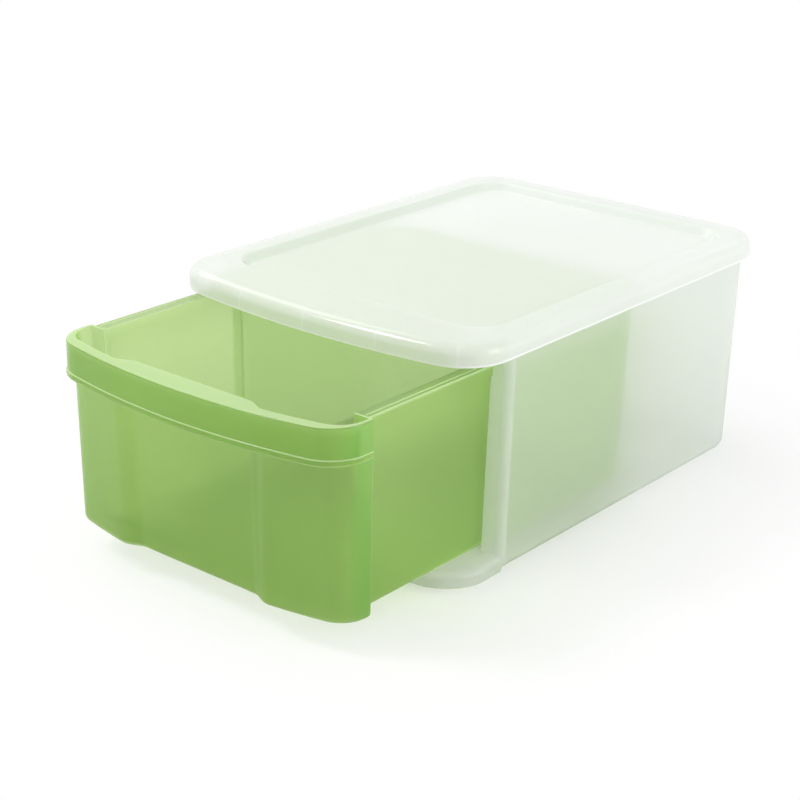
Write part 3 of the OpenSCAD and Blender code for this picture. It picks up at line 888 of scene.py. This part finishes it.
def makeCamera():
    data = bpy.data.cameras.new("camera")
    data.lens = view["lens"]
    data.sensor_width = view["sensor"]
    data.sensor_fit = "HORIZONTAL"
    data.shift_x, data.shift_y = view["shift"]
    camera = addObject("camera", data)
    yaw = Matrix.Rotation(math.radians(view["yaw"]), 4, "Z")
    pitch = Matrix.Rotation(math.radians(90 - view["pitch"]), 4, "X")
    roll = Matrix.Rotation(math.radians(view["roll"]), 4, "Z")
    camera.matrix_world = Matrix.Translation(view["place"]) @ yaw @ pitch @ roll
    bpy.context.scene.camera = camera


# The floor glows white but for a shadow. A fade runs between two distances and between two shares of glow.
white = (1, 1, 1)
ground = {
    "reach": 6.0, "below": 0.0002, "roughness": 0.9, "drawnIn": 0.01,
    "grey": (0.62, 0.62, 0.62), "seenGrey": (0.96, 0.96, 0.96),
    "seenFade": (0.0, 0.22, 0.35, 1.0), "otherFade": (0.0, 0.35, 0.1, 1.0),
}


# Whether the camera sees the backdrop, and whether a gloss or a clear piece does
def backdropRays(net):
    paths = net.node("ShaderNodeLightPath", out="Is Camera Ray")
    return paths, net.maths("MAXIMUM", paths.output("Is Glossy Ray"), paths.output("Is Transmission Ray"))


# Distance in plan from a box, which is drawn in a little so that the edge of the shadow lies under the object
def awayFrom(net, low, high):
    middle = [(a + b) / 2 for a, b in zip(low[:2], high[:2])]
    half = [(b - a) / 2 - ground["drawnIn"] for a, b in zip(low[:2], high[:2])]
    place = net.vector("SUBTRACT", net.node("ShaderNodeTexCoord", out="Object"), (*middle, 0))
    beyond = net.vector("SUBTRACT", net.vector("ABSOLUTE", place), (*half, 0))
    return net.vector("LENGTH", net.vector("MAXIMUM", beyond, (0, 0, 0)), out="Value")


def makeFloor():
    reach, z = ground["reach"] / milli, -ground["below"] / milli
    corners = [(-reach, -reach, z), (reach, -reach, z), (reach, reach, z), (-reach, reach, z)]
    floor = makeMesh("floor", corners, [[0, 1, 2, 3]])
    material = bpy.data.materials.new("floor")
    net = newNet(material)
    seen, other = backdropRays(net)
    plain = net.node("ShaderNodeBsdfPrincipled", {
        "Base Color": net.mixColour(seen, ground["grey"], ground["seenGrey"]),
        "Roughness": ground["roughness"], "Specular IOR Level": 0.0,
    })
    glow = net.node("ShaderNodeEmission", {"Color": white, "Strength": 1.0})
    share = seen * net.spread(awayFrom(net, *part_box("case")), *ground["seenFade"])
    share += (1 - seen) * other * net.spread(awayFrom(net, *cadBox), *ground["otherFade"])
    net.node("ShaderNodeOutputMaterial", {"Surface": net.mixShader(share, plain, glow)})
    paint(floor, material)


sky = {"horizon": 0.4, "top": 0.85, "topFrom": 0.7}  # two strengths, and how high the top one starts


def makeWorld():
    world = bpy.data.worlds.new("world")
    net = newNet(world)
    seen = net.maths("MAXIMUM", *backdropRays(net))
    up = net.node("ShaderNodeSeparateXYZ", {0: net.node("ShaderNodeTexCoord", out="Generated")}, out="Z")
    strength = seen + (1 - seen) * net.spread(up, 0.0, sky["topFrom"], sky["horizon"], sky["top"])
    back = net.node("ShaderNodeBackground", {"Color": white, "Strength": strength})
    net.node("ShaderNodeOutputWorld", {"Surface": back})
    bpy.context.scene.world = world


aim = (0, 0, 0.1)
lamps = {
    "keyLight": {"place": (-1.0, -1.15, 1.75), "size": (0.5, 0.45), "power": 14},
    "sideLight": {"place": (1.7, 0.3, 0.5), "size": (0.8, 1.2), "power": 12},
    "leftLight": {"place": (-1.4, 0.1, 1.5), "size": (1.0, 1.0), "power": 7},
}


def makeLamp(name, lamp):
    data = bpy.data.lights.new(name, "AREA")
    data.shape = "RECTANGLE"
    data.size, data.size_y = lamp["size"]
    data.energy = lamp["power"]
    light = addObject(name, data)
    light.location = lamp["place"]
    light.rotation_euler = (Vector(aim) - Vector(lamp["place"])).to_track_quat("-Z", "Y").to_euler()


makeCamera()
makeFloor()
makeWorld()
for name, lamp in lamps.items():
    makeLamp(name, lamp)
bpy.context.scene.view_settings.view_transform = "Standard"
print("camera, floor and light")

print("done")
